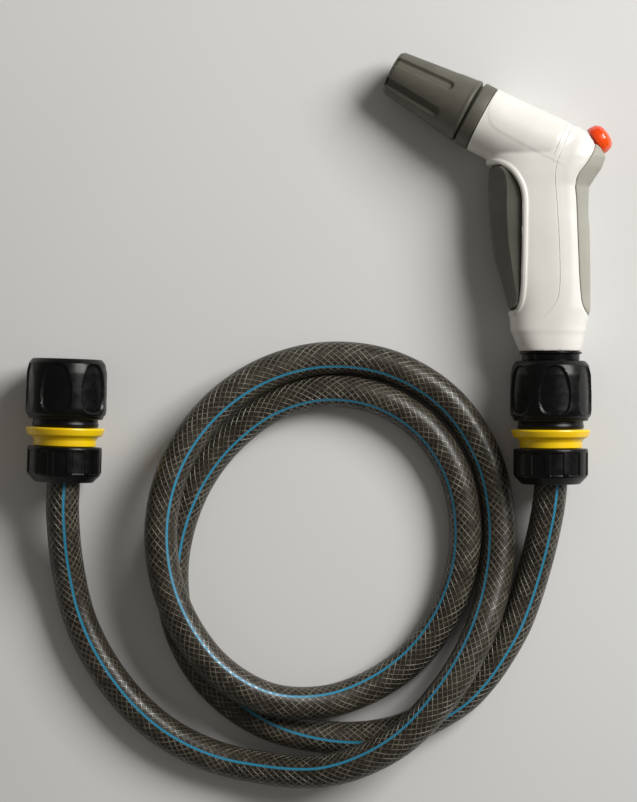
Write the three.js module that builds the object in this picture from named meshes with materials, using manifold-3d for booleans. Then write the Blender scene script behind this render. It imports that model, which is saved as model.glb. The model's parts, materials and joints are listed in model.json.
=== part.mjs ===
// A handheld bath sprayer laid flat on a table: a pistol-grip water gun with a twist nozzle, and a
// braided hose with a click-on connector at each end. Millimetres, +Z up. The origin is on the table,
// under the middle of the gun and its connector.
import * as THREE from "three";
import { mergeVertices } from "three/addons/utils/BufferGeometryUtils.js";
import Module from "manifold-3d";

const wasm = await Module();
wasm.setup();

// ---------------------------------------------------------------- driving dimensions
const GAP = 0.3; // between pieces that touch
const SEAM = 0.15; // from the mid-plane to each half shell

const ORIGIN_SHIFT = [0.3, 1.33]; // of the layout below, to put the origin under the gun's middle
const CONNECTOR_Z = 20.3; // height of both connector axes, so that the sleeves rest on the table
const NEAR_X = 26.6; // the gun's connector
const NEAR_MOUTH_Y = -47.5;
const FAR_X = -215; // the free connector
const FAR_MOUTH_Y = -46.5;
const FAR_TILT = THREE.MathUtils.degToRad(-1.8);

const GUN_ABOVE_MOUTH = 4.75; // from the connector's mouth to the foot of the handle
const GUN_ROLL = THREE.MathUtils.degToRad(-5.2); // the gun leans until its nozzle touches the table
const WALL = 2.5; // of the shells
const NOZZLE_ANGLE = THREE.MathUtils.degToRad(28.4); // of the head above the horizontal
const HEAD_FRONT = [-33.7, 116.2]; // where the head's axis leaves the white shell
const TRIGGER_PIVOT = [-13.5, 21];
const TRIGGER_HALF_WIDTH = 12.2;
const TRIGGER_WALL = 2.5;
const FOOT_HALF_WIDTH = 9.7; // of the trigger's narrower foot, round the pin
const FOOT_TOP = 20.4;
const STEM_Y = 60; // height of the valve stem in the handle
const STEM_REST_X = -11.05; // tip of the stem, just behind the trigger's web
const BUTTON_BASE = [22.1, 104.4];
const BUTTON_ANGLE = THREE.MathUtils.degToRad(34.3);
const BUTTON_TRAVEL = 3;
const SCREW_PLACES = [
  [10.2, 22],
  [8.8, 85],
  [-31.4, 101.4],
  [-1.6, 110.6],
];

const SCREW_SEAT = -8.9; // height of the screws' shoulders, on the table side
const SCREW_HOLE_END = 9;

const HOSE_OUTER = 8.25; // radius
const HOSE_BORE = 6.25; // radius
const HOSE_STEPS = 72;
const HOSE_Z = 8.3; // centre line where the hose lies on the table
const HOSE_START = 45.4; // from a connector's mouth to the hose's cut end
const NUT_END = 61.5; // from a connector's mouth to where the hose leaves the nut

// ---------------------------------------------------------------- colours
const WHITE = 0xf1f0ec;
const LIGHT_GREY = 0xb4b4a6;
const DARK_GREY = 0x4b4a42;
const BLACK = 0x131313;
const YELLOW = 0xf7cf0e;
const ORANGE = 0xe8370c;
const STEEL = 0xb9bcc0;
const BRASS = 0xc2a14e;
const NATURAL = 0xdcd9cf;
const RUBBER = 0x1c1c1c;
const HOSE_GREY = 0x55524b;

// ---------------------------------------------------------------- helpers
function part(name, geometry, colour, roughness = 0.5, metalness = 0) {
  const look = { color: colour, roughness, metalness, flatShading: true };
  const mesh = new THREE.Mesh(geometry, new THREE.MeshStandardMaterial(look));
  mesh.name = name;
  return mesh;
}

function group(meshes, x = 0, y = 0, z = 0) {
  const made = new THREE.Group();
  made.position.set(x, y, z);
  made.add(...meshes);
  return made;
}

function points2(rows) {
  return rows.map(([x, y]) => new THREE.Vector2(x, y));
}

// One closed mesh whose faces share their corners.
function closed(geometry) {
  geometry.deleteAttribute("normal");
  geometry.deleteAttribute("uv");
  return mergeVertices(geometry, 1e-4);
}

// A turned piece about its local Y axis; the profile's rows are [radius, height].
function turned(profile, segments = 24) {
  const points = points2(profile);
  if (THREE.ShapeUtils.isClockWise(points)) points.reverse();
  const onAxis = points[0].x === 0 && points.at(-1).x === 0;
  if (!onAxis) points.push(points[0].clone());
  return closed(new THREE.LatheGeometry(points, segments));
}

function ring(inner, outer, low, high, segments = 24) {
  return turned(
    [
      [inner, low],
      [outer, low],
      [outer, high],
      [inner, high],
    ],
    segments,
  );
}

function rod(radius, low, high, segments = 16) {
  const cylinder = new THREE.CylinderGeometry(radius, radius, high - low, segments);
  return closed(cylinder).translate(0, (low + high) / 2, 0);
}

function box(x0, x1, y0, y1, z0, z1) {
  const block = new THREE.BoxGeometry(x1 - x0, y1 - y0, z1 - z0);
  return closed(block).translate((x0 + x1) / 2, (y0 + y1) / 2, (z0 + z1) / 2);
}

// A flat outline made solid about the mid-plane. The outline is the widest section.
function plate(outline, halfDepth, bevel = 0) {
  const depth = 2 * (halfDepth - bevel);
  const extruded = new THREE.ExtrudeGeometry(new THREE.Shape(points2(outline)), {
    depth,
    bevelEnabled: bevel > 0,
    bevelThickness: bevel,
    bevelSize: bevel,
    bevelOffset: -bevel,
    bevelSegments: 2,
  });
  return closed(extruded).translate(0, 0, -depth / 2);
}

// A solid through sections across local Y. Rows are [height, lowest x, highest x, half width in z], and
// each section is an oval that the squareness makes boxier: 2 is an ellipse.
function loft(rows, squareness, sides = 16) {
  const corners = [];
  const middle = ([height, low, high]) => [(low + high) / 2, height, 0];
  for (const [height, low, high, halfWidth] of rows) {
    for (let i = 0; i < sides; i++) {
      const angle = (i / sides) * 2 * Math.PI;
      const along = Math.sign(Math.cos(angle)) * Math.abs(Math.cos(angle)) ** (2 / squareness);
      const across = Math.sign(Math.sin(angle)) * Math.abs(Math.sin(angle)) ** (2 / squareness);
      corners.push([(low + high) / 2 + ((high - low) / 2) * along, height, halfWidth * across]);
    }
  }
  const bottom = corners.push(middle(rows[0])) - 1;
  const top = corners.push(middle(rows.at(-1))) - 1;
  const faces = [];
  for (let i = 0; i < sides; i++) {
    const next = (i + 1) % sides;
    for (let row = 0; row < rows.length - 1; row++) {
      const [a, b] = [row * sides + i, row * sides + next];
      faces.push(a, a + sides, b, b, a + sides, b + sides);
    }
    const last = (rows.length - 1) * sides;
    faces.push(bottom, i, next, top, last + next, last + i);
  }
  const geometry = new THREE.BufferGeometry();
  geometry.setAttribute("position", new THREE.Float32BufferAttribute(corners.flat(), 3));
  geometry.setIndex(faces);
  return geometry;
}

// Lays a piece that was made about local Y along the X axis, the Z axis, or the nozzle's axis.
const alongX = (geometry) => geometry.rotateZ(-Math.PI / 2);
const alongZ = (geometry) => geometry.rotateX(Math.PI / 2);
const alongNozzle = (geometry) =>
  geometry.rotateZ(Math.PI / 2 - NOZZLE_ANGLE).translate(HEAD_FRONT[0], HEAD_FRONT[1], 0);
const alongButton = (geometry) =>
  geometry.rotateZ(BUTTON_ANGLE - Math.PI / 2).translate(BUTTON_BASE[0], BUTTON_BASE[1], 0);

function toSolid(geometry) {
  const vertProperties = geometry.attributes.position.array;
  const triVerts = new Uint32Array(geometry.index.array);
  return new wasm.Manifold(new wasm.Mesh({ numProp: 3, vertProperties, triVerts }));
}

function toGeometry(solid) {
  const mesh = solid.getMesh();
  const geometry = new THREE.BufferGeometry();
  geometry.setAttribute("position", new THREE.BufferAttribute(mesh.vertProperties, 3));
  geometry.setIndex(new THREE.BufferAttribute(mesh.triVerts, 1));
  return geometry;
}

const join = (...geometries) => toGeometry(geometries.map(toSolid).reduce((a, b) => a.add(b)));
const cut = (geometry, ...tools) => toGeometry(tools.map(toSolid).reduce((a, b) => a.subtract(b), toSolid(geometry)));
const common = (a, b) => toGeometry(toSolid(a).intersect(toSolid(b)));

// A coil spring about local Y from low to high.
function spring(radius, wire, low, high, turns) {
  const stepsPerTurn = 8;
  const count = turns * stepsPerTurn;
  const path = [];
  for (let i = 0; i <= count; i++) {
    const angle = (i / stepsPerTurn) * 2 * Math.PI;
    const height = THREE.MathUtils.lerp(low + wire, high - wire, i / count);
    path.push(new THREE.Vector3(radius * Math.cos(angle), height, radius * Math.sin(angle)));
  }
  return wireAlong(path, wire, count);
}

function wireAlong(path, wire, steps) {
  const sides = 4;
  const section = [];
  for (let i = 0; i < sides; i++) {
    const angle = (i / sides) * 2 * Math.PI;
    section.push([wire * Math.cos(angle), wire * Math.sin(angle)]);
  }
  const extrudePath = new THREE.CatmullRomCurve3(path);
  return closed(new THREE.ExtrudeGeometry(new THREE.Shape(points2(section)), { steps, extrudePath }));
}

// ---------------------------------------------------------------- hose connector
// Made about local Y with its mouth at 0 and the hose leaving downwards.
function releaseSleeve() {
  return turned(
    [
      [16.7, -30],
      [18.7, -30],
      [20.2, -28],
      [20.3, -18],
      [20.0, -7],
      [19.0, -2.2],
      [17.2, 0],
      [15.4, 0],
      [15.2, -1.8],
      [13.1, -5.5],
      [13.1, -14],
      [16.7, -14],
    ],
    24,
  );
}

function couplingBody() {
  return turned(
    [
      [5, -34],
      [16.25, -34],
      [16.25, -26],
      [12.7, -26],
      [12.7, -2.2],
      [11.7, -2.2],
      [11.7, -9.2],
      [8.1, -9.2],
      [8.1, -15.6],
      [10.1, -15.6],
      [10.1, -18.4],
      [8.1, -18.4],
      [8.1, -22],
      [5, -22],
    ],
    16,
  );
}

function lockClaws() {
  const claws = [0, 1, 2, 3].map((quarter) =>
    box(6.6, 9.4, -7.4, -4.6, -1.6, 1.6).rotateY((quarter * Math.PI) / 2),
  );
  return join(ring(8.7, 11.3, -8.8, -3, 14), ...claws);
}

function hoseTail() {
  return turned(
    [
      [4, -59],
      [5, -59],
      [5.4, -56],
      [4.9, -52],
      [5.2, -45],
      [8.8, -45],
      [8.8, -50],
      [13.3, -50],
      [13.3, -43.4],
      [15.8, -43.4],
      [16, -38.4],
      [18.8, -37.9],
      [19.3, -36.2],
      [18.8, -34.3],
      [4, -34.3],
    ],
    18,
  );
}

function clampCollet() {
  const slots = [0, 1, 2].map((third) =>
    box(-12, 12, -56, -52, -0.6, 0.6).rotateY((third * Math.PI) / 3),
  );
  const tapered = turned(
    [
      [8.7, -56.4],
      [10.6, -56.4],
      [12.6, -50.6],
      [8.7, -50.6],
    ],
    18,
  );
  return cut(tapered, ...slots);
}

function clampNut() {
  return turned(
    [
      [8.8, -61.5],
      [14.5, -61.5],
      [18.6, -57],
      [18.7, -44.8],
      [17.6, -43.8],
      [13.7, -43.8],
      [13.7, -50.2],
      [11.2, -57.4],
      [8.8, -57.8],
    ],
    24,
  );
}

function connector(prefix) {
  return [
    part(`${prefix}_release_sleeve`, releaseSleeve(), BLACK, 0.35),
    part(`${prefix}_coupling_body`, couplingBody(), BLACK, 0.4),
    part(`${prefix}_sleeve_spring`, spring(14.7, 0.6, -25.7, -18, 3), STEEL, 0.3, 1),
    part(`${prefix}_lock_claws`, lockClaws(), NATURAL, 0.5),
    part(`${prefix}_seal_ring`, ring(7.9, 9.8, -18, -16, 20), RUBBER, 0.8),
    part(`${prefix}_hose_tail`, hoseTail(), YELLOW, 0.4),
    part(`${prefix}_clamp_collet`, clampCollet(), NATURAL, 0.5),
    part(`${prefix}_clamp_nut`, clampNut(), BLACK, 0.4),
  ];
}

// ---------------------------------------------------------------- gun shells
// In the gun's frame the handle stands along +Y from 0, the nozzle points to -X, and Z is the grip's width.
// Rows are [height, front, back, half width].
const HANDLE_ROWS = [
  [0, -15.6, 15, 15.4],
  [9.2, -19.4, 17, 15.9],
  [12, -20.2, 17.6, 16],
  [21, -20.7, 19.7, 16],
  [34.4, -24.5, 19.7, 16],
  [47.8, -28.4, 19.6, 16],
  [60, -30.1, 19.3, 16],
  [70, -30.8, 18.6, 16],
  [82, -31, 19, 16],
  [87, -31, 22.2, 16],
  [91.5, -31.1, 25.4, 15.8],
  [96.6, -32.1, 27.2, 15.4],
  [101, -33, 26, 14.6],
  [107, -25, 21, 12.5],
  [112, -15, 14, 9],
];

// Rows are [distance along the head's axis, lower edge, upper edge, half width].
const HEAD_ROWS = [
  [-53, 3, 15.5, 8],
  [-48, -4, 18.4, 12],
  [-38, -11, 18.6, 15.6],
  [-25, -15.5, 18, 16.6],
  [-12, -16.8, 17.2, 16.8],
  [0, -16.8, 16.8, 16.8],
];

// The edge between the white shells and the grey back panel, from the bottom to the lock button.
const PANEL_BORDER = [
  [19.5, 16.5],
  [15.7, 22.3],
  [14.4, 30.6],
  [13.4, 49.7],
  [12.4, 75.2],
  [11.9, 82],
  [13.3, 87],
  [18.2, 94],
  [21.4, 100.5],
  [21.8, 104.8],
];
const BEYOND = 60; // reaches past every outline

const TRIGGER_FRONT = [
  [-20.7, 21],
  [-24.5, 34.4],
  [-28.4, 47.8],
  [-30.1, 60],
  [-30.9, 75.2],
];

// The D-shaped opening on the front of the handle that the trigger fills.
const TRIGGER_OPENING = [
  [-BEYOND, 19.8],
  [-18.6, 20.4],
  [-16.2, 23.4],
  [-15.2, 29.4],
  [-14.6, 43.4],
  [-14.3, 62.5],
  [-14.6, 77.8],
  [-16.9, 84.3],
  [-22, 90.3],
  [-27.7, 92.7],
  [-BEYOND, 93.1],
];

// The space inside the shells that the squeezed trigger swings through.
const TRIGGER_ROOM = [
  [-BEYOND, FOOT_TOP],
  [-8.4, FOOT_TOP],
  [-6.5, 30],
  [-5, 62],
  [-4.8, 80],
  [-7, 88],
  [-13, 92.2],
  [-28, 93],
  [-BEYOND, 93],
];

const HEAD_WALL_FRONT = -2.5;
const BUTTON_RECESS = BUTTON_TRAVEL + 0.6;
const CUP_DEPTH = 14;

// The outside of the whole grip, shells and back panel together, or its inside at a wall's depth.
function grip(inset) {
  const shrink = ([height, low, high, half]) => [height, low + inset, high - inset, half - inset];
  const handle = loft(HANDLE_ROWS.map(shrink), 2.7);
  const rows = HEAD_ROWS.map(shrink);
  rows[0][0] += inset;
  rows.at(-1)[0] -= inset;
  const behindButton = alongButton(box(-BEYOND, BEYOND, -inset, BEYOND, -BEYOND, BEYOND));
  return cut(join(handle, alongNozzle(loft(rows, 2, 20))), behindButton);
}

function behindBorder(gap) {
  const outline = PANEL_BORDER.map(([x, y]) => [x + gap, y]);
  return plate([...outline, [BEYOND, 104.8], [BEYOND, 10], [24 + gap, 10]], BEYOND);
}

function shells() {
  const outside = cut(grip(0), behindBorder(0));
  const inside = cut(grip(WALL), behindBorder(-WALL));
  const bosses = SCREW_PLACES.map(([x, y]) => alongZ(rod(3, -12.5, 12.5, 8)).translate(x, y, 0));
  const collars = SCREW_PLACES.map(([x, y]) => alongZ(rod(4.3, -14, SCREW_SEAT + 1.2, 8)).translate(x, y, 0));
  const pinBosses = alongZ(cut(rod(3.4, -14, 14, 12), rod(5, -12.6, 12.6, 12))).translate(...TRIGGER_PIVOT, 0);
  const buttonCup = alongButton(rod(9.6, -CUP_DEPTH, -1, 16));
  const ribs = join(...bosses, ...collars, pinBosses, buttonCup);
  const filled = join(cut(outside, inside), common(ribs, outside));
  const footWidth = FOOT_HALF_WIDTH + GAP;
  const footRoom = box(-17.8, -9, 16.8, FOOT_TOP + 1, -footWidth, footWidth);
  const openings = [
    plate(TRIGGER_OPENING, BEYOND),
    plate(TRIGGER_ROOM, TRIGGER_HALF_WIDTH + GAP),
    footRoom,
    alongNozzle(rod(8.9, -10, 5, 20)),
    rod(9.4, -5, 12, 20),
    alongZ(rod(1.8, -13.6, 13.6, 12)).translate(...TRIGGER_PIVOT, 0),
    alongButton(rod(7.8, -BUTTON_RECESS, 12, 20)),
    alongButton(rod(4.9, -CUP_DEPTH + 1.2, 0, 16)),
    ...SCREW_PLACES.map(([x, y]) => alongZ(rod(1.5, -BEYOND, SCREW_HOLE_END, 8)).translate(x, y, 0)),
    ...SCREW_PLACES.map(([x, y]) => alongZ(rod(3.1, -BEYOND, SCREW_SEAT, 10)).translate(x, y, 0)),
  ];
  return cut(filled, ...openings);
}

function shellParts() {
  const whole = shells();
  const upper = common(whole, box(-BEYOND, BEYOND, -5, 160, SEAM, BEYOND));
  const lower = common(whole, box(-BEYOND, BEYOND, -5, 160, -BEYOND, -SEAM));
  return [part("body_shell_upper", upper, WHITE, 0.35), part("body_shell_lower", lower, WHITE, 0.35)];
}

// Made about local Y with its head at the table side.
function shellScrew(index, [x, y]) {
  const profile = [
    [0, SCREW_SEAT - 2.1],
    [2.6, SCREW_SEAT - 1.6],
    [2.6, SCREW_SEAT - GAP],
    [1.2, SCREW_SEAT - GAP],
    [1.2, 7],
    [0, 8.4],
  ];
  const screw = alongZ(turned(profile, 12)).translate(x, y, 0);
  return part(`shell_screw_${index + 1}`, screw, STEEL, 0.3, 1);
}

function rearGripPanel() {
  const recess = alongButton(rod(7.8, -BUTTON_RECESS, 12, 16));
  const hole = alongButton(rod(5, -CUP_DEPTH, 0, 16));
  const panel = cut(common(grip(0), behindBorder(GAP)), recess, hole);
  return part("rear_grip_panel", panel, LIGHT_GREY, 0.7);
}

// ---------------------------------------------------------------- trigger and button
function trigger() {
  const outline = [
    ...TRIGGER_FRONT,
    [-30.9, 89.6],
    [-29.6, 91.1],
    [-24, 91.4],
    [-18, 90],
    [-12.6, 84],
    [-11.6, 76],
    [-11.4, 62],
    [-11.6, 36],
    [-10.4, 24.6],
    [-9.9, 21],
    [-11, 18.4],
    [-13.5, 17.4],
    [-16.2, 18.6],
    [-17.1, 21],
  ];
  const [pivotX, pivotY] = TRIGGER_PIVOT;
  const inner = TRIGGER_HALF_WIDTH - TRIGGER_WALL;
  const lowPocket = plate(
    [
      [-22, 23.4],
      [-27.6, 48],
      [-27.9, STEM_Y - 3.5],
      [5, STEM_Y - 3.5],
      [5, 10],
      [-17.2, 10],
      [-17.3, 21.3],
    ],
    inner,
  );
  const highPocket = plate(
    [
      [-27.9, STEM_Y + 3.5],
      [-28.4, 75.2],
      [-28.4, 88.6],
      [5, 88.6],
      [5, STEM_Y + 3.5],
    ],
    inner,
  );
  const pinHole = alongZ(rod(1.8, -20, 20, 12)).translate(pivotX, pivotY, 0);
  const ears = [-1, 1].map((side) => {
    const middle = side * (FOOT_HALF_WIDTH + TRIGGER_HALF_WIDTH);
    return box(-30, 5, 10, FOOT_TOP + GAP, -TRIGGER_HALF_WIDTH, TRIGGER_HALF_WIDTH).translate(0, 0, middle);
  });
  const solid = plate(outline, TRIGGER_HALF_WIDTH, 2.2);
  return part("trigger", cut(solid, ...ears, lowPocket, highPocket, pinHole), DARK_GREY, 0.6);
}

function triggerPin() {
  const pin = alongZ(rod(1.5, -13.3, 13.3, 12)).translate(...TRIGGER_PIVOT, 0);
  return part("trigger_pin", pin, STEEL, 0.3, 1);
}

function triggerSpring() {
  const radius = 2.5;
  const wire = 0.45;
  const path = [new THREE.Vector3(-1.9, 13, -3.2), new THREE.Vector3(-2.4, 6, -3.2)];
  const stepsPerTurn = 8;
  const turns = 3;
  for (let i = 0; i <= turns * stepsPerTurn; i++) {
    const angle = Math.PI - (i / stepsPerTurn) * 2 * Math.PI;
    const z = THREE.MathUtils.lerp(-3, 3, i / (turns * stepsPerTurn));
    path.push(new THREE.Vector3(radius * Math.cos(angle), radius * Math.sin(angle), z));
  }
  path.push(new THREE.Vector3(-2.3, -6, 3.2), new THREE.Vector3(-1.8, -11, 3.2));
  const coil = wireAlong(path, wire, 40).translate(...TRIGGER_PIVOT, 0);
  return part("trigger_spring", coil, STEEL, 0.3, 1);
}

function lockButton() {
  const profile = [
    [0, -1.2],
    [3.1, -1.2],
    [3.1, -9.4],
    [4.6, -9.4],
    [4.6, -0.2],
    [7.4, -0.2],
    [7.5, 2.2],
    [6.6, 5.4],
    [4.2, 7.1],
    [0, 7.6],
  ];
  return part("lock_button", alongButton(turned(profile, 20)), ORANGE, 0.2);
}

function buttonSpring() {
  const coil = alongButton(spring(2.3, 0.4, -12.4, -1.2 - BUTTON_TRAVEL - GAP, 4));
  return part("button_spring", coil, STEEL, 0.3, 1);
}

// ---------------------------------------------------------------- water path
function inletNipple() {
  const profile = [
    [4.2, -22],
    [6.9, -22],
    [7.6, -21],
    [7.6, -19.6],
    [6.3, -19.6],
    [6.3, -17],
    [7.6, -17],
    [7.6, -12.8],
    [6.1, -12.4],
    [6.1, -9],
    [7.6, -8.6],
    [7.6, -5.9],
    [14.5, -5.9],
    [14.5, -1.3],
    [15.5, -1],
    [15.5, -GAP],
    [9, -GAP],
    [9, 12],
    [5.9, 12],
    [5.9, 8],
    [4.2, 8],
  ];
  return part("inlet_nipple", turned(profile, 18), BLACK, 0.35);
}

function waterTube() {
  return part("water_tube", ring(4.2, 5.6, 8.3, 51.2, 16), NATURAL, 0.5);
}

function valveHousing() {
  const outside = join(
    alongX(rod(7.6, -5.4, 9.9, 20)).translate(0, STEM_Y, 0),
    rod(7.4, 45, STEM_Y, 16),
    rod(5.6, STEM_Y, 98.6, 16),
    alongNozzle(rod(6.6, -38.4, -14, 16)),
  );
  const bores = [
    alongX(rod(5.3, -12, -4.2, 14)).translate(0, STEM_Y, 0),
    alongX(rod(3, -4.3, 0, 12)).translate(0, STEM_Y, 0),
    alongX(rod(4.9, -1.6, 8.4, 16)).translate(0, STEM_Y, 0),
    rod(5.9, 44, 51.5, 16),
    rod(3, 51, STEM_Y, 12).translate(2.4, 0, 0),
    box(-4.2, -1.9, STEM_Y, 69, -2.6, 2.6),
    rod(3.8, 68.5, 97, 12),
    alongNozzle(rod(3.8, -36.4, -10, 12)),
    alongNozzle(rod(5.3, -19.8, -10, 16)),
  ];
  return part("valve_housing", cut(outside, ...bores), NATURAL, 0.5);
}

function valveStem() {
  const profile = [
    [0, STEM_REST_X],
    [1.7, STEM_REST_X + 0.5],
    [1.7, 0.7],
    [4, 0.7],
    [4, 1.9],
    [1.2, 1.9],
    [1.2, 4],
    [0, 4],
  ];
  return part("valve_stem", alongX(turned(profile, 14)).translate(0, STEM_Y, 0), BRASS, 0.3, 1);
}

const onStem = (name, geometry, colour, roughness, metalness) =>
  part(name, alongX(geometry).translate(0, STEM_Y, 0), colour, roughness, metalness);

function nozzleAxisPart(name, geometry, colour, roughness, metalness) {
  return part(name, alongNozzle(geometry), colour, roughness, metalness);
}

function barrel() {
  const profile = [
    [4.6, -19.5],
    [5, -19.5],
    [5, -13.6],
    [8.4, -13.6],
    [8.4, -5.2],
    [13, -5.2],
    [13, HEAD_WALL_FRONT - GAP],
    [8.4, HEAD_WALL_FRONT - GAP],
    [8.4, 12],
    [6.6, 13],
    [6.6, 30.4],
    [5.6, 30.4],
    [5.6, 32.6],
    [6.6, 32.6],
    [6.6, 36],
    [4.6, 36],
  ];
  return nozzleAxisPart("barrel", turned(profile, 20), NATURAL, 0.5);
}

function pintle() {
  const needle = turned(
    [
      [0, 22],
      [1.6, 22],
      [1.6, 40],
      [3.2, 44.5],
      [3.2, 46.5],
      [0, 47.5],
    ],
    14,
  );
  const arms = [0, 1, 2].map((third) =>
    box(0, 3.6, 24, 27, -0.7, 0.7).rotateY((third * 2 * Math.PI) / 3),
  );
  const holder = ring(3.3, 4.3, 23, 28, 16);
  return nozzleAxisPart("pintle", join(needle, holder, ...arms), BRASS, 0.3, 1);
}

function nozzleInsert() {
  const profile = [
    [6.9, 28],
    [8.4, 28],
    [8.4, 46.6],
    [7.6, 47.2],
    [3.8, 45.6],
    [3.8, 43.6],
    [6.9, 42],
  ];
  return nozzleAxisPart("nozzle_insert", turned(profile, 20), DARK_GREY, 0.5);
}

function nozzleSleeve() {
  const profile = [
    [8.8, 8.3],
    [15.9, 8.3],
    [16.5, 9.1],
    [16.4, 11],
    [11.9, 50],
    [10, 52],
    [8.7, 52],
    [8.7, 33.5],
    [11.4, 28],
    [13.5, 12.8],
    [8.8, 11.6],
  ];
  return nozzleAxisPart("nozzle_sleeve", turned(profile, 28), DARK_GREY, 0.55);
}

function collarRing() {
  const profile = [
    [8.8, GAP],
    [16.3, GAP],
    [16.75, 1],
    [16.75, 6.6],
    [16.3, 7],
    [14.6, 7],
    [14.6, 7.9],
    [8.8, 7.9],
  ];
  return nozzleAxisPart("collar_ring", turned(profile, 28), DARK_GREY, 0.55);
}

function gun() {
  return [
    ...shellParts(),
    ...SCREW_PLACES.map((place, index) => shellScrew(index, place)),
    rearGripPanel(),
    trigger(),
    triggerPin(),
    triggerSpring(),
    lockButton(),
    buttonSpring(),
    inletNipple(),
    part("nipple_o_ring", ring(6.6, 7.8, -19.2, -17.4, 20), RUBBER, 0.8),
    waterTube(),
    valveHousing(),
    valveStem(),
    onStem("valve_gland", ring(2, 5, -7.6, -4.5, 14), BRASS, 0.3, 1),
    onStem("valve_seal", ring(2, 4.4, -1.3, 0.4, 14), RUBBER, 0.8),
    onStem("valve_spring", spring(2.9, 0.4, 5.6, 8.2, 2), STEEL, 0.3, 1),
    barrel(),
    nozzleAxisPart("barrel_o_ring", ring(5.9, 6.6, 30.7, 32.3, 16), RUBBER, 0.8),
    pintle(),
    nozzleInsert(),
    nozzleSleeve(),
    collarRing(),
  ];
}

// ---------------------------------------------------------------- hose
// The hose leaves the free connector, passes below the loop, makes two turns that climb over each other
// twice, and ends in the gun's connector. Rows are [x, y, height of the centre line].
const FAR_TAIL = [
  [-217.6, -121, 19.5],
  [-217.3, -133, 17.1],
  [-216.6, -145, 13.4],
  [-215, -157.2, 10.2],
  [-212.6, -169.4, 8.6],
  [-208.3, -182.3, HOSE_Z],
  [-201.8, -195.6, HOSE_Z],
  [-192.8, -209.4, HOSE_Z],
  [-181.1, -223, HOSE_Z],
  [-166.1, -235.3, HOSE_Z],
  [-147, -245.3, HOSE_Z],
];
const NEAR_TAIL = [
  [-6.7, -206.9, HOSE_Z],
  [2.8, -193.1, HOSE_Z],
  [9.8, -180.5, HOSE_Z],
  [15, -167, 8.6],
  [18.9, -154, 10.1],
  [21.9, -141.5, 13.1],
  [24.1, -130, 16.4],
  [25.7, -119.5, 19.2],
];
const LOOP_CENTRE = [-86.2, -140.5];
const LOOP_FIRST = -110; // degrees, counted from +X
const LOOP_STEP = 20; // degrees
// Radius and height of the centre line at each step of the two turns.
const LOOP_ROWS = [
  [117.6, 9.4],
  [112.2, 19],
  [103.2, 25.6],
  [93.4, 26],
  [88.4, 20.8],
  [87.3, 12.6],
  [89.1, 8.7],
  [92.8, HOSE_Z],
  [95.9, HOSE_Z],
  [96.4, HOSE_Z],
  [94.6, 10.4],
  [91.6, 15],
  [88.3, 19.2],
  [85.4, 22.6],
  [82.7, 24.8],
  [80.8, 25.9],
  [80.2, 25.7],
  [80.9, 24.6],
  [80.8, 21.8],
  [78, 15.8],
  [74.3, 10.2],
  [71.6, HOSE_Z],
  [69.9, HOSE_Z],
  [70.1, HOSE_Z],
  [71.9, HOSE_Z],
  [75.2, HOSE_Z],
  [78, HOSE_Z],
  [79, HOSE_Z],
  [78, HOSE_Z],
  [75.4, HOSE_Z],
  [72.6, HOSE_Z],
  [72.1, HOSE_Z],
  [73.9, HOSE_Z],
  [78.4, HOSE_Z],
  [84.6, HOSE_Z],
  [90.2, HOSE_Z],
  [94.2, HOSE_Z],
  [96.9, HOSE_Z],
  [100.6, HOSE_Z],
  [103.4, HOSE_Z],
];

function loopPoint([radius, height], index) {
  const angle = THREE.MathUtils.degToRad(LOOP_FIRST + index * LOOP_STEP);
  return [LOOP_CENTRE[0] + radius * Math.cos(angle), LOOP_CENTRE[1] + radius * Math.sin(angle), height];
}

function insideConnector(x, y, tilt, depth) {
  return [x + depth * Math.sin(tilt), y - depth * Math.cos(tilt), CONNECTOR_Z];
}

function hosePath() {
  const rows = [
    insideConnector(FAR_X, FAR_MOUTH_Y, FAR_TILT, HOSE_START),
    insideConnector(FAR_X, FAR_MOUTH_Y, FAR_TILT, NUT_END),
    ...FAR_TAIL,
    ...LOOP_ROWS.map(loopPoint),
    ...NEAR_TAIL,
    insideConnector(NEAR_X, NEAR_MOUTH_Y, 0, NUT_END),
    insideConnector(NEAR_X, NEAR_MOUTH_Y, 0, HOSE_START),
  ];
  return new THREE.CatmullRomCurve3(rows.map((row) => new THREE.Vector3(...row)));
}

function polygon(radius, sides, Kind) {
  const outline = new Kind();
  for (let i = 0; i < sides; i++) {
    const angle = ((i + 0.5) / sides) * 2 * Math.PI;
    const [x, y] = [radius * Math.cos(angle), radius * Math.sin(angle)];
    if (i === 0) outline.moveTo(x, y);
    else outline.lineTo(x, y);
  }
  outline.closePath();
  return outline;
}

function hose() {
  const section = polygon(HOSE_OUTER, 12, THREE.Shape);
  section.holes.push(polygon(HOSE_BORE, 8, THREE.Path));
  const geometry = new THREE.ExtrudeGeometry(section, { steps: HOSE_STEPS, extrudePath: hosePath() });
  return part("hose", closed(geometry), HOSE_GREY, 0.3);
}

// ---------------------------------------------------------------- the whole sprayer
const nearConnector = group(connector("near"), NEAR_X, NEAR_MOUTH_Y, CONNECTOR_Z);
const farConnector = group(connector("far"), FAR_X, FAR_MOUTH_Y, CONNECTOR_Z);
farConnector.rotation.z = FAR_TILT;
const sprayGun = group(gun(), NEAR_X, NEAR_MOUTH_Y + GUN_ABOVE_MOUTH, CONNECTOR_Z);
sprayGun.rotation.y = GUN_ROLL;

const sprayer = new THREE.Group();
sprayer.add(group([hose(), nearConnector, farConnector, sprayGun], ...ORIGIN_SHIFT));
export default sprayer;
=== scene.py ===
"""The looks of a handheld bath sprayer: a water gun on a coiled braided hose with two hose connectors."""

import json
import math

import bmesh
import bpy
import numpy as np
from mathutils import Matrix, Vector


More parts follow.
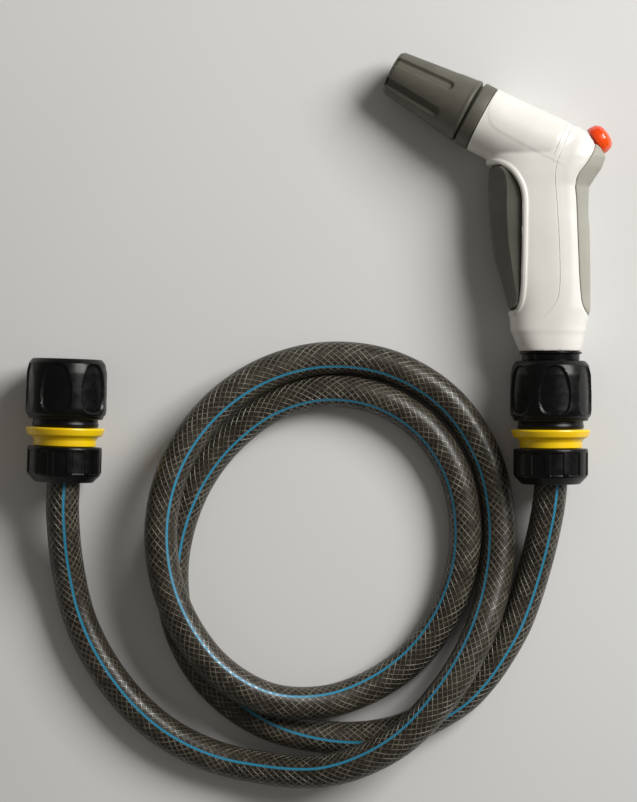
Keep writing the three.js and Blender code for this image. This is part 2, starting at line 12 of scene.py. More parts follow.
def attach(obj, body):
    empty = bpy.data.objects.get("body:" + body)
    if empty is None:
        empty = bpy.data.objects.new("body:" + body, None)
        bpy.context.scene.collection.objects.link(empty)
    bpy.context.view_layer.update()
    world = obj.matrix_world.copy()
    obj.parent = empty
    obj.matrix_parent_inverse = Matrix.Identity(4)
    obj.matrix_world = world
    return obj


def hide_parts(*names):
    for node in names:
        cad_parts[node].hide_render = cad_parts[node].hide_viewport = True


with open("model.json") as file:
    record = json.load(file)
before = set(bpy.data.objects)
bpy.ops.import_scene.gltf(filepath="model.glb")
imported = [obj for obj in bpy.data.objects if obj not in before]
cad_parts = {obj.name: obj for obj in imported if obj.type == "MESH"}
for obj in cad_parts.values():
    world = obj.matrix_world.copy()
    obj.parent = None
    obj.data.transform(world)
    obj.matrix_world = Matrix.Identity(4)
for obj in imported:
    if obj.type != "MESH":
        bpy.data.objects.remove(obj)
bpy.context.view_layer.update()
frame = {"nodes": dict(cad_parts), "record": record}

# ---------------------------------------------------------------- layout, in millimetres in the row frame
MM = 0.001
AXIS_HEIGHT = 20.3  # of both connectors
NEAR_MOUTH = (26.9, -46.17, AXIS_HEIGHT)
FAR_MOUTH = (-214.7, -45.17, AXIS_HEIGHT)
FAR_TILT = math.radians(-1.8)
GUN_FOOT = (26.9, -41.42, AXIS_HEIGHT)
GUN_ROLL = math.radians(-5.2)
NOZZLE_ANGLE = math.radians(28.4)
HEAD_FRONT = (-33.7, 116.2, 0)
BUTTON_BASE = (22.1, 104.4, 0)
BUTTON_ANGLE = math.radians(34.3)

# Pieces are made in one of these frames, in millimetres, and turned pieces lie about local Y.
near_frame = Matrix.Translation(NEAR_MOUTH)
far_frame = Matrix.Translation(FAR_MOUTH) @ Matrix.Rotation(FAR_TILT, 4, "Z")
gun_frame = Matrix.Translation(GUN_FOOT) @ Matrix.Rotation(GUN_ROLL, 4, "Y")
head_turn = Matrix.Translation(HEAD_FRONT) @ Matrix.Rotation(math.pi / 2 - NOZZLE_ANGLE, 4, "Z")
nozzle_frame = gun_frame @ head_turn
button_turn = Matrix.Translation(BUTTON_BASE) @ Matrix.Rotation(BUTTON_ANGLE - math.pi / 2, 4, "Z")
button_frame = gun_frame @ button_turn

# ---------------------------------------------------------------- camera, light and floor
VIEW_CENTRE = (-89.2, -66.2)
VIEW_HEIGHT = 401  # of the view, at the connectors' height
LENS = 100
SENSOR = 36


def add_camera():
    data = bpy.data.cameras.new("camera")
    data.lens = LENS
    data.sensor_width = SENSOR
    camera = bpy.data.objects.new("camera", data)
    distance = VIEW_HEIGHT * LENS / SENSOR
    camera.location = Vector((*VIEW_CENTRE, AXIS_HEIGHT + distance)) * MM
    bpy.context.scene.collection.objects.link(camera)
    bpy.context.scene.camera = camera


def add_light(name, place, size, power, colour):
    data = bpy.data.lights.new(name, "AREA")
    data.size = size
    data.energy = power
    data.color = colour
    light = bpy.data.objects.new(name, data)
    target = Vector((*VIEW_CENTRE, 0)) * MM
    light.location = target + Vector(place)
    light.rotation_euler = (-Vector(place)).to_track_quat("-Z", "Y").to_euler()
    bpy.context.scene.collection.objects.link(light)


def add_world():
    world = bpy.data.worlds.new("studio")
    world.use_nodes = True
    background = world.node_tree.nodes["Background"]
    background.inputs["Color"].default_value = (1, 0.94, 0.86, 1)
    background.inputs["Strength"].default_value = 0.15
    bpy.context.scene.world = world
    bpy.context.scene.view_settings.view_transform = "Standard"


# ---------------------------------------------------------------- mesh helpers
def add_piece(name, vertices, faces, place, sharp=35):
    """A mesh object from millimetre vertices in the frame `place`, with outward faces."""
    mesh = bpy.data.meshes.new(name)
    mesh.from_pydata([tuple(v) for v in vertices], [], [tuple(f) for f in faces])
    mesh.transform(Matrix.Scale(MM, 4) @ place)
    tidy = bmesh.new()
    tidy.from_mesh(mesh)
    bmesh.ops.remove_doubles(tidy, verts=tidy.verts, dist=1e-7)
    bmesh.ops.delete(tidy, geom=[edge for edge in tidy.edges if not edge.link_faces], context="EDGES")
    bmesh.ops.recalc_face_normals(tidy, faces=tidy.faces)
    tidy.to_mesh(mesh)
    tidy.free()
    mesh.shade_smooth()
    mesh.set_sharp_from_angle(angle=math.radians(sharp))
    piece = bpy.data.objects.new(name, mesh)
    bpy.context.scene.collection.objects.link(piece)
    return piece


def grid_faces(rows, columns, close_rows):
    """Quads over a grid of points that is closed across its columns, and along its rows if asked."""
    first = np.arange(rows if close_rows else rows - 1)
    a, b = np.meshgrid(first, np.arange(columns), indexing="ij")
    c, d = (a + 1) % rows, (b + 1) % columns
    corners = [a * columns + b, c * columns + b, c * columns + d, a * columns + d]
    return np.stack(corners, -1).reshape(-1, 4)


def rounded(outline, radius=0.4, steps=3):
    """A closed outline with its corners rounded."""
    made = []
    count = len(outline)
    for i in range(count):
        before, corner, after = (Vector(outline[(i + k) % count]) for k in (-1, 0, 1))
        if corner.x == 0:
            made.append(corner)
            continue
        ends = []
        for other in (before, after):
            away = other - corner
            ends.append(corner + away.normalized() * min(radius, 0.45 * away.length))
        for k in range(steps + 1):
            t = k / steps
            made.append((1 - t) ** 2 * ends[0] + 2 * t * (1 - t) * corner + t**2 * ends[1])
    return made


def refined(outline, step):
    """A closed outline with no side longer than step."""
    made = []
    for i, start in enumerate(outline):
        end = outline[(i + 1) % len(outline)]
        pieces = max(1, math.ceil((end - start).length / step))
        made += [start.lerp(end, k / pieces) for k in range(pieces)]
    return made


def turned(outline, segments=96, shape=None):
    """Vertices and faces about local Y. Angles run from local Z towards X, and `shape` changes the radii."""
    rows = np.array([tuple(p) for p in outline])
    angles = np.arange(segments) / segments * 2 * math.pi
    radii = np.repeat(rows[:, :1], segments, 1)
    heights = np.repeat(rows[:, 1:], segments, 1)
    if shape:
        radii = shape(radii, heights, angles[None, :])
    points = np.stack([radii * np.sin(angles), heights, radii * np.cos(angles)], -1)
    return points.reshape(-1, 3), grid_faces(len(rows), segments, True)


def smooth_step(x, low, high):
    t = np.clip((x - low) / (high - low), 0, 1)
    return t * t * (3 - 2 * t)


def from_nearest(angles, count, first):
    """How far each angle is from the nearest of `count` evenly spaced ones."""
    pitch = 2 * math.pi / count
    return (angles - first + pitch / 2) % pitch - pitch / 2


# ---------------------------------------------------------------- materials
def colour(red, green, blue):
    """Linear RGBA from display values of 0 to 255."""
    linear = [((v / 255 + 0.055) / 1.055) ** 2.4 if v > 10 else v / 255 / 12.92 for v in (red, green, blue)]
    return (*linear, 1)


class Shader:
    """A new material with its Principled shader, and short ways to add and join nodes."""

    def __init__(self, name):
        self.material = bpy.data.materials.new(name)
        self.material.use_nodes = True
        self.tree = self.material.node_tree
        self.principled = self.tree.nodes["Principled BSDF"]

    def set(self, **values):
        for name, value in values.items():
            self.principled.inputs[name.replace("_", " ")].default_value = value

    def link(self, output, node_input):
        self.tree.links.new(output, node_input)

    def node(self, kind, **settings):
        made = self.tree.nodes.new(kind)
        for key, value in settings.items():
            setattr(made, key, value)
        return made

    def feed(self, socket, value):
        if isinstance(value, bpy.types.NodeSocket):
            self.link(value, socket)
        else:
            socket.default_value = value

    def math(self, operation, *values, clamp=False):
        made = self.node("ShaderNodeMath", operation=operation, use_clamp=clamp)
        for socket, value in zip(made.inputs, values):
            self.feed(socket, value)
        return made.outputs[0]

    def noise(self, scale, detail=2, roughness=0.5, vector=None):
        made = self.node("ShaderNodeTexNoise")
        made.inputs["Scale"].default_value = scale
        made.inputs["Detail"].default_value = detail
        made.inputs["Roughness"].default_value = roughness
        coordinates = vector or self.node("ShaderNodeTexCoord").outputs["Object"]
        self.link(coordinates, made.inputs["Vector"])
        return made.outputs["Fac"]

    def spread(self, value, low, high, to_low=0.0, to_high=1.0):
        made = self.node("ShaderNodeMapRange", interpolation_type="SMOOTHSTEP")
        for socket, given in zip(made.inputs, (value, low, high, to_low, to_high)):
            self.feed(socket, given)
        return made.outputs[0]

    def mix(self, factor, first, second):
        made = self.node("ShaderNodeMix", data_type="RGBA")
        for name, value in (("Factor", factor), ("A", first), ("B", second)):
            socket = [s for s in made.inputs if s.name == name and s.enabled][0]
            self.feed(socket, value)
        return [s for s in made.outputs if s.enabled][0]

    def bump(self, height, distance, strength=1.0):
        made = self.node("ShaderNodeBump")
        made.inputs["Distance"].default_value = distance
        made.inputs["Strength"].default_value = strength
        self.link(height, made.inputs["Height"])
        self.link(made.outputs[0], self.principled.inputs["Normal"])


def plastic(name, main, second, roughness, grain=0.00003, grain_scale=2600, **values):
    """Moulded plastic: slow colour drift, fine surface grain and uneven gloss."""
    shader = Shader(name)
    drift = shader.spread(shader.noise(38, 3), 0.35, 0.65)
    shader.link(shader.mix(drift, main, second), shader.principled.inputs["Base Color"])
    gloss = shader.noise(240, 4, 0.6)
    spread = shader.spread(gloss, 0.3, 0.7, roughness - 0.05, roughness + 0.07)
    shader.link(spread, shader.principled.inputs["Roughness"])
    shader.bump(shader.noise(grain_scale, 2), grain)
    shader.set(**values)
    return shader.material


def metal(name, main, second, roughness):
    """Drawn wire and turned metal, with fine streaks."""
    shader = Shader(name)
    streaks = shader.spread(shader.noise(900, 5, 0.7), 0.3, 0.7)
    shader.link(shader.mix(streaks, main, second), shader.principled.inputs["Base Color"])
    spread = shader.spread(shader.noise(420, 3), 0.3, 0.7, roughness - 0.06, roughness + 0.08)
    shader.link(spread, shader.principled.inputs["Roughness"])
    shader.bump(shader.noise(3200, 2), 0.00001)
    shader.set(Metallic=1.0)
    return shader.material


BRAID_ENDS = 16  # yarns each way round the hose
BRAID_LEAD = 62.0  # millimetres along the hose for one turn of a yarn
STRIPE_HALF = 0.012  # of the way round


def braided_hose():
    """Clear glossy vinyl over a pale braid on a dark liner, with one blue stripe.

    The UV map gives the turn round the hose, 0 at the stripe, and the distance along it in metres.
    """
    shader = Shader("braided_hose")
    uv = shader.node("ShaderNodeUVMap", uv_map="along")
    split = shader.node("ShaderNodeSeparateXYZ")
    shader.link(uv.outputs[0], split.inputs[0])
    turn, along = split.outputs[0], split.outputs[1]
    around = shader.math("MULTIPLY", turn, BRAID_ENDS)
    ahead = shader.math("MULTIPLY", along, BRAID_ENDS / (BRAID_LEAD * MM))
    shapes = []
    tones = []
    for operation in ("ADD", "SUBTRACT"):
        place = shader.math(operation, around, ahead)
        middle = shader.math("ABSOLUTE", shader.math("SUBTRACT", shader.math("FRACT", place), 0.5))
        ribbon = shader.spread(middle, 0.18, 0.04)
        own = shader.node("ShaderNodeTexWhiteNoise", noise_dimensions="1D")
        shader.link(shader.math("FLOOR", place), own.inputs["W"])
        tone = shader.spread(own.outputs["Value"], 0, 1, 0.5, 1)
        shapes.append(ribbon)
        tones.append(shader.math("MULTIPLY", ribbon, tone))
    weave = shader.math("MAXIMUM", *shapes)
    uneven = shader.spread(shader.noise(210, 3), 0.35, 0.65, 0.3, 1)
    pale = shader.math("MULTIPLY", shader.math("MAXIMUM", *tones), uneven)
    under = shader.mix(shader.spread(shader.noise(60, 2), 0.35, 0.65), colour(36, 32, 26), colour(52, 47, 39))
    base = shader.mix(pale, under, colour(122, 116, 100))
    middle = shader.math("SUBTRACT", shader.math("FRACT", shader.math("ADD", turn, 0.5)), 0.5)
    stripe = shader.spread(shader.math("ABSOLUTE", middle), STRIPE_HALF * 1.2, STRIPE_HALF * 0.8)
    shader.link(shader.mix(stripe, base, colour(46, 138, 172)), shader.principled.inputs["Base Color"])
    shader.link(shader.spread(weave, 0, 1, 0.42, 0.28), shader.principled.inputs["Roughness"])
    shader.link(shader.spread(pale, 0, 1, 0.3, 1), shader.principled.inputs["Specular IOR Level"])
    shader.bump(shader.math("MULTIPLY", weave, shader.math("SUBTRACT", 1, stripe)), 0.0003)
    shader.set(Coat_Weight=0.22, Coat_Roughness=0.3)
    return shader.material


MATERIALS = {
    "white_plastic": plastic(
        "white_plastic", colour(231, 229, 223), colour(235, 233, 228), 0.38, 0.00001, Subsurface_Weight=0.06,
        Subsurface_Radius=(0.004, 0.003, 0.002), Coat_Weight=0.15, Coat_Roughness=0.2,
    ),
    "grey_soft": plastic("grey_soft", colour(162, 161, 150), colour(169, 168, 157), 0.62, 0.00005, 3200),
    "dark_plastic": plastic("dark_plastic", colour(84, 82, 73), colour(96, 94, 83), 0.47, 0.00008, 3000),
    "orange_plastic": plastic(
        "orange_plastic", colour(246, 66, 8), colour(252, 88, 14), 0.14, 0.00001, Subsurface_Weight=0.3,
        Subsurface_Radius=(0.004, 0.001, 0.0003), Coat_Weight=0.7, Coat_Roughness=0.05,
    ),
    "black_plastic": plastic(
        "black_plastic", colour(3, 3, 4), colour(6, 6, 7), 0.3, 0.00002, 2400, Specular_IOR_Level=0.28,
    ),
    "yellow_plastic": plastic(
        "yellow_plastic", colour(254, 208, 3), colour(255, 216, 6), 0.34, 0.00001, Subsurface_Weight=0.05,
        Subsurface_Radius=(0.003, 0.0012, 0.0002), Coat_Weight=0.2, Coat_Roughness=0.2,
    ),
    "natural_plastic": plastic("natural_plastic", colour(225, 221, 208), colour(232, 229, 218), 0.45),
    "seal_rubber": plastic("seal_rubber", colour(26, 26, 26), colour(34, 34, 34), 0.7, 0.00003),
    "steel": metal("steel", colour(182, 184, 188), colour(205, 207, 210), 0.28),
    "brass": metal("brass", colour(196, 160, 84), colour(214, 182, 104), 0.25),
    "braided_hose": braided_hose(),
}


def finish_piece(piece, slot, body, *nodes):
    """Gives a piece its material and its body, and hides the CAD nodes that it stands for."""
    piece.data.materials.clear()
    piece.data.materials.append(MATERIALS[slot])
    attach(piece, body)
    if nodes:
        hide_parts(*nodes)
    return piece


# ---------------------------------------------------------------- hose
HOSE_OUTER = 8.25  # radius
HOSE_BORE = 6.25  # radius
HOSE_Z = 8.3  # height of the centre line where the hose lies on the table
HOSE_START = 45.4  # depth of the hose's end from a connector's mouth
NUT_END = 61.5  # depth of the clamp nut's end
HOSE_RINGS = 620
HOSE_SIDES = 48
LAYOUT_SHIFT = (0.3, 1.33)  # of the lying route in plan
# The tails' rows are x, y and the height of the centre line.
FAR_TAIL = [
    (-217.6, -121, 19.5), (-217.3, -133, 17.1), (-216.6, -145, 13.4), (-215, -157.2, 10.2),
    (-212.6, -169.4, 8.6), (-208.3, -182.3, HOSE_Z), (-201.8, -195.6, HOSE_Z), (-192.8, -209.4, HOSE_Z),
    (-181.1, -223, HOSE_Z), (-166.1, -235.3, HOSE_Z), (-147, -245.3, HOSE_Z),
]
NEAR_TAIL = [
    (-6.7, -206.9, HOSE_Z), (2.8, -193.1, HOSE_Z), (9.8, -180.5, HOSE_Z), (15, -167, 8.6),
    (18.9, -154, 10.1), (21.9, -141.5, 13.1), (24.1, -130, 16.4), (25.7, -119.5, 19.2),
]
LOOP_CENTRE = (-86.2, -140.5)
LOOP_FIRST = -110  # degrees, counted from +X
LOOP_STEP = 20  # degrees
# Radius and height of the centre line at each step of the two turns.
LOOP_ROWS = [
    (117.6, 9.4), (112.2, 19), (103.2, 25.6), (93.4, 26), (88.4, 20.8), (87.3, 12.6), (89.1, 8.7),
    (92.8, HOSE_Z), (95.9, HOSE_Z), (96.4, HOSE_Z), (94.6, 10.4), (91.6, 15), (88.3, 19.2), (85.4, 22.6),
    (82.7, 24.8), (80.8, 25.9), (80.2, 25.7), (80.9, 24.6), (80.8, 21.8), (78, 15.8), (74.3, 10.2),
    (71.6, HOSE_Z), (69.9, HOSE_Z), (70.1, HOSE_Z), (71.9, HOSE_Z), (75.2, HOSE_Z), (78, HOSE_Z),
    (79, HOSE_Z), (78, HOSE_Z), (75.4, HOSE_Z), (72.6, HOSE_Z), (72.1, HOSE_Z), (73.9, HOSE_Z),
    (78.4, HOSE_Z), (84.6, HOSE_Z), (90.2, HOSE_Z), (94.2, HOSE_Z), (96.9, HOSE_Z), (100.6, HOSE_Z),
    (103.4, HOSE_Z),
]


def hose_route():
    """The route's points, in millimetres, from inside the free connector to inside the gun's."""
    loop = []
    for i, (radius, height) in enumerate(LOOP_ROWS):
        angle = math.radians(LOOP_FIRST + i * LOOP_STEP)
        x = LOOP_CENTRE[0] + radius * math.cos(angle)
        y = LOOP_CENTRE[1] + radius * math.sin(angle)
        loop.append((x, y, height))
    lying = [Vector(p) + Vector((*LAYOUT_SHIFT, 0)) for p in (*FAR_TAIL, *loop, *NEAR_TAIL)]
    far_end = [far_frame @ Vector((0, -depth, 0)) for depth in (HOSE_START, NUT_END)]
    near_end = [near_frame @ Vector((0, -depth, 0)) for depth in (NUT_END, HOSE_START)]
    return np.array([tuple(p) for p in (*far_end, *lying, *near_end)])


def smooth_curve(points, samples):
    """Points evenly spaced along the centripetal curve through the given ones."""
    ends = [2 * points[0] - points[1], *points, 2 * points[-1] - points[-2]]
    dense = []
    for p0, p1, p2, p3 in zip(ends, ends[1:], ends[2:], ends[3:]):
        d0, d1, d2 = (math.sqrt(np.linalg.norm(b - a)) for a, b in ((p0, p1), (p1, p2), (p2, p3)))
        start = ((p1 - p0) / d0 - (p2 - p0) / (d0 + d1) + (p2 - p1) / d1) * d1
        end = ((p2 - p1) / d1 - (p3 - p1) / (d1 + d2) + (p3 - p2) / d2) * d1
        for t in np.arange(40) / 40:
            rest = 2 * t**3 - 3 * t**2
            dense.append((rest + 1) * p1 - rest * p2 + (t**3 - 2 * t**2 + t) * start + (t**3 - t**2) * end)
    dense = np.array([*dense, points[-1]])
    steps = np.linalg.norm(np.diff(dense, axis=0), axis=1)
    travelled = np.concatenate([[0], np.cumsum(steps)])
    wanted = np.linspace(0, travelled[-1], samples)
    return np.stack([np.interp(wanted, travelled, dense[:, k]) for k in range(3)], 1), wanted


def stripe_angles(path, travelled):
    """How far the stripe has rolled from the hose's top towards its left, in radians, at each point."""
    length = travelled[-1]
    in_loop = smooth_step(travelled, 0.1 * length, 0.22 * length)
    in_loop *= 1 - smooth_step(travelled, 0.8 * length, 0.9 * length)
    bearing = np.arctan2(path[:, 1] - LOOP_CENTRE[1], path[:, 0] - LOOP_CENTRE[0])
    loop = np.radians(33 + 8 * np.cos(bearing))
    tail = np.where(travelled < length / 2, math.radians(9), math.radians(-18))
    return tail + (loop - tail) * in_loop


def make_hose():
    path, travelled = smooth_curve(hose_route(), HOSE_RINGS)
    path[:, 2] = np.maximum(path[:, 2], HOSE_Z)
    tangent = np.gradient(path, axis=0)
    tangent /= np.linalg.norm(tangent, axis=1, keepdims=True)
    left = np.cross((0, 0, 1), tangent)
    left /= np.linalg.norm(left, axis=1, keepdims=True)
    up = np.cross(tangent, left)
    angles = np.arange(HOSE_SIDES) / HOSE_SIDES * 2 * math.pi
    around = up[:, None] * np.cos(angles)[None, :, None] + left[:, None] * np.sin(angles)[None, :, None]
    outer = path[:, None] + HOSE_OUTER * around
    inner = (path[:, None] + HOSE_BORE * around)[::-1]
    points = np.concatenate([outer, inner]).reshape(-1, 3)
    faces = grid_faces(2 * HOSE_RINGS, HOSE_SIDES, True)
    hose = add_piece("hose_braided", points, faces, Matrix.Identity(4))
    roll = stripe_angles(path, travelled)
    layer = hose.data.uv_layers.new(name="along")
    loops = len(hose.data.loops)
    corner = np.zeros(loops, int)
    hose.data.loops.foreach_get("vertex_index", corner)
    ring, side = corner // HOSE_SIDES, corner % HOSE_SIDES
    ring = np.where(ring < HOSE_RINGS, ring, 2 * HOSE_RINGS - 1 - ring)
    turn = side / HOSE_SIDES - roll[ring] / (2 * math.pi)
    first = turn.reshape(-1, 4)[:, :1]
    turn = first + (turn.reshape(-1, 4) - first + 0.5) % 1 - 0.5
    uv = np.stack([turn.reshape(-1), travelled[ring] * MM], 1)
    layer.data.foreach_set("uv", uv.reshape(-1).astype(np.float32))
    return hose, path, travelled[-1]


# ---------------------------------------------------------------- hose connector
# Outlines of turned pieces are rows of radius and height, with the connector's mouth at height 0.
DISHES = 6
NUT_PADS = 12
SLEEVE_OUTLINE = [
    (16.7, -30), (18.2, -30), (18.7, -29.4), (18.8, -28.6), (19.9, -27.4), (20.3, -25), (20.3, -16),
    (20.0, -7), (19.0, -2.2), (17.2, 0), (15.4, 0), (15.2, -1.8), (13.1, -5.5), (13.1, -14), (16.7, -14),
]
CORE_OUTLINE = [
    (5, -34), (16.25, -34), (16.6, -32.6), (16.25, -31.6), (16.25, -26), (12.7, -26), (12.7, -2.2),
    (11.7, -2.2), (11.7, -9.2), (8.1, -9.2), (8.1, -15.6), (10.1, -15.6), (10.1, -18.4), (8.1, -18.4),
    (8.1, -22), (5, -22),
]
SEAL_OUTLINE = [(7.9, -18), (9.8, -18), (9.8, -16), (7.9, -16)]
TAIL_OUTLINE = [
    (4, -59), (5, -59), (5.4, -56), (4.9, -52), (5.2, -45), (8.8, -45), (8.8, -50), (13.3, -50),
    (13.3, -43.4), (15.6, -43.4), (15.6, -40.4), (16.6, -38.8), (18, -38.4), (18.7, -37.8), (19.7, -35.2),
    (19.4, -34.3), (4, -34.3),
]
NUT_OUTLINE = [
    (8.8, -61.5), (14.5, -61.5), (17.9, -58), (18.6, -56.6), (18.6, -44.6), (18.2, -43.8), (13.7, -43.8),
    (13.7, -50.2), (11.2, -57.4), (8.8, -57.8),
]


def release_sleeve(first_dish):
    """The sliding sleeve, with egg-shaped finger dishes between waisted ridges."""

    def dished(radii, heights, angles):
        half_width = np.interp(heights, (-25, -14, -3), (8.5, 8.1, 5.9))
        aside = np.abs(from_nearest(angles, DISHES, first_dish)) * 20.3 / half_width
        along = np.abs((heights + 14.8) / 12.4)
        inside = 1 - aside**3 - along**3.6
        depth = 1.05 * smooth_step(inside, 0.0, 0.24) + 0.4 * np.clip(inside, 0, 1)
        return np.where(radii > 18.2, radii - depth, radii)

    return turned(refined(rounded(SLEEVE_OUTLINE, 0.6), 0.55), 300, dished)


def clamp_nut(first_pad):
    """The nut, with a row of shallow pads cut into it."""

    def ribbed(radii, heights, angles):
        reach = smooth_step(heights, -57.4, -56.6) * (1 - smooth_step(heights, -46.2, -45.5))
        aside = np.abs(from_nearest(angles, NUT_PADS, first_pad))
        pad = 1 - smooth_step(aside, math.radians(9.6), math.radians(11.2))
        return np.where(radii > 17.5, radii - 0.65 * reach * pad, radii)

    return turned(refined(rounded(NUT_OUTLINE, 0.35), 0.6), 480, ribbed)


def lock_claws():
    """The ring of claws in the socket, open towards the mouth."""

    def clawed(radii, heights, angles):
        near = np.abs(from_nearest(angles, 4, 0))
        claw = 1 - smooth_step(near, math.radians(12), math.radians(15))
        reach = np.clip(1 - np.abs(heights + 6) / 1.5, 0, 1) ** 0.5
        return np.where(radii < 9, radii - 2 * claw * reach, radii)

    outline = rounded([(8.7, -8.8), (11.3, -8.8), (11.3, -3), (8.7, -3)], 0.3)
    return turned(refined(outline, 0.3), 144, clawed)


def connector(side, place, ridge, pad):
    """All visible pieces of one connector, with a sleeve ridge and a nut pad at the given degrees."""
    first_dish = math.radians(ridge) + math.pi / DISHES
    rows = [
        ("sleeve_dished", release_sleeve(first_dish), "black_plastic", f"{side}_sleeve", "release_sleeve"),
        ("core", turned(rounded(CORE_OUTLINE, 0.3)), "black_plastic", "hose_line", "coupling_body"),
        ("claws", lock_claws(), "natural_plastic", "hose_line", "lock_claws"),
        ("seal", turned(rounded(SEAL_OUTLINE, 0.8)), "seal_rubber", "hose_line", "seal_ring"),
        ("tail", turned(rounded(TAIL_OUTLINE, 0.25), 128), "yellow_plastic", "hose_line", "hose_tail"),
        ("nut_ribbed", clamp_nut(math.radians(pad)), "black_plastic", "hose_line", "clamp_nut"),
    ]
    made = []
    for name, geometry, slot, body, node in rows:
        piece = add_piece(f"{side}_{name}", *geometry, place)
        made.append(finish_piece(piece, slot, body, f"{side}_{node}"))
    return made


# ---------------------------------------------------------------- gun: blank of the grip
# Rows of height, low x, high x and half width, for the handle and for the head along its own axis.
HANDLE_ROWS = [
    (0, -15.6, 15, 15.4), (4, -17.3, 15.9, 15.7), (8.9, -19.3, 16.9, 15.9), (9.5, -20, 17.4, 16.1),
    (12, -20.2, 17.6, 16.1), (21, -20.7, 19.7, 16.1), (34.4, -24.5, 19.7, 16.1),
    (47.8, -28.4, 19.6, 16.1), (60, -30.1, 19.3, 16.1), (70, -30.8, 18.6, 16.1), (82, -31, 19, 16.1),
    (87, -31, 22.2, 16.1), (91.5, -31.1, 25.4, 15.8), (96.6, -32.1, 27.2, 15.4), (101, -33, 26, 14.6),
    (107, -25, 21, 12.5), (112, -15, 14, 9),
]
HEAD_ROWS = [
    (-53, 3, 15.5, 8), (-48, -4, 18.4, 12), (-38, -11, 18.6, 15.6), (-25, -15.5, 18, 16.6),
    (-12, -16.8, 17.2, 16.8), (0, -16.8, 16.8, 16.8), (3, -16.8, 16.8, 16.8),
]
SEAM = 0.15  # from the mid-plane to each half shell
LINE_HALF = 0.2  # of the moulded lines on the shells
LINE_DEPTH = 0.45
WALL = 2.4  # of the shells
VOXEL = 0.45
BEYOND = 60  # well past the gun's sides
PANEL_BORDER = [
    (24, 10), (19.5, 16.5), (15.7, 22.3), (14.4, 30.6), (13.4, 49.7), (12.4, 75.2), (11.9, 82),
    (13.3, 87), (18.2, 94), (21.4, 100.5), (21.8, 104.8),
]
TRIGGER_FRONT = [
    (-20.7, 21), (-24.5, 34.4), (-28.4, 47.8), (-30.1, 60), (-30.9, 75.2), (-30.9, 89.6), (-30.2, 92.4),
]
TRIGGER_OPENING = [
    (-21.6, 20.2), (-18.6, 20.6), (-16.4, 23.6), (-15.2, 29.4), (-14.6, 43.4), (-14.3, 62.5),
    (-14.6, 77.8), (-16.9, 84.3), (-21.4, 89.9), (-27.7, 92.7), (-34, 93.1),
]
CONTOUR = [
    (-4.1, 15.95), (2.9, 24.85), (4.2, 31.25), (4.2, 49.75), (3.25, 68.85), (2.3, 89.25), (5.45, 99.45),
    (9.55, 109.25), (14, 119),
]
SECOND_CONTOUR = [(1.45, 96.75), (6.85, 109.75), (11, 119)]
HEAD_CONTOUR = [(-24, 134), (-30.6, 119.5), (-30, 113), (-27.4, 109.9), (-14.6, 102.4), (-1.8, 95.6)]


def spline(points, samples=160):
    """A smooth outline through the given plan points."""
    return smooth_curve(np.array([(x, y, 0) for x, y in points], float), samples)[0][:, :2]


def loft(rows, squareness, sides=128, samples=160):
    """Oval sections across local Y, from rows of height, low x, high x and half width."""
    heights = np.array([row[0] for row in rows], float)
    wanted = np.linspace(heights[0], heights[-1], samples)
    low, high, half = (np.interp(wanted, heights, [row[k] for row in rows]) for k in (1, 2, 3))
    angles = np.arange(sides) / sides * 2 * math.pi
    power = 2 / squareness
    along = np.sign(np.cos(angles)) * np.abs(np.cos(angles)) ** power
    across = np.sign(np.sin(angles)) * np.abs(np.sin(angles)) ** power
    x = (low + high)[:, None] / 2 + (high - low)[:, None] / 2 * along
    z = half[:, None] * across
    points = np.stack([x, np.repeat(wanted[:, None], sides, 1), z], -1).reshape(-1, 3)
    faces = [*map(tuple, grid_faces(samples, sides, False))]
    faces += [tuple(range(sides)), tuple(range((samples - 1) * sides, samples * sides))]
    return points, faces


def solid(name, vertices, faces, place=Matrix.Identity(4)):
    """A working mesh in millimetres in the gun's frame."""
    return add_piece(name, vertices, faces, Matrix.Scale(1 / MM, 4) @ place)


def prism(outline, low, high):
    """A plan outline made solid from one height to another."""
    count = len(outline)
    points = [(x, y, z) for z in (low, high) for x, y in outline]
    sides = [(i, (i + 1) % count, (i + 1) % count + count, i + count) for i in range(count)]
    return points, [*sides, tuple(range(count)), tuple(range(count, 2 * count))]


def block(low, high):
    (x0, y0, z0), (x1, y1, z1) = low, high
    return prism([(x0, y0), (x1, y0), (x1, y1), (x0, y1)], z0, z1)


def rod(radius, low, high, sides=64):
    """A round bar about local Y."""
    return turned([Vector(p) for p in ((0, low), (radius, low), (radius, high), (0, high))], sides)


def apply_modifiers(piece):
    bpy.context.view_layer.update()
    evaluated = piece.evaluated_get(bpy.context.evaluated_depsgraph_get())
    mesh = bpy.data.meshes.new_from_object(evaluated)
    piece.modifiers.clear()
    piece.data = mesh


def combine(piece, operation, tools):
    """Joins, cuts or intersects a working mesh with others, and removes those."""
    for tool in tools:
        change = piece.modifiers.new("combine", "BOOLEAN")
        change.operation = operation
        change.solver = "MANIFOLD"
        change.object = tool
        apply_modifiers(piece)
        bpy.data.objects.remove(tool)
    return piece


def copy_of(piece, name):
    made = piece.copy()
    made.data = piece.data.copy()
    made.name = name
    bpy.context.scene.collection.objects.link(made)
    return made


def distance_to(outline, x, y):
    """How far each point is from a plan outline, and on which side: positive to its right."""
    best = np.full(len(x), 1e9)
    side = np.zeros(len(x))
    for (ax, ay), (bx, by) in zip(outline[:-1], outline[1:]):
        dx, dy = bx - ax, by - ay
        t = np.clip(((x - ax) * dx + (y - ay) * dy) / (dx * dx + dy * dy), 0, 1)
        gap = np.hypot(x - ax - t * dx, y - ay - t * dy)
        turn = (x - ax) * dy - (y - ay) * dx
        side = np.where(gap < best, np.sign(turn), side)
        best = np.minimum(best, gap)
    return best, side


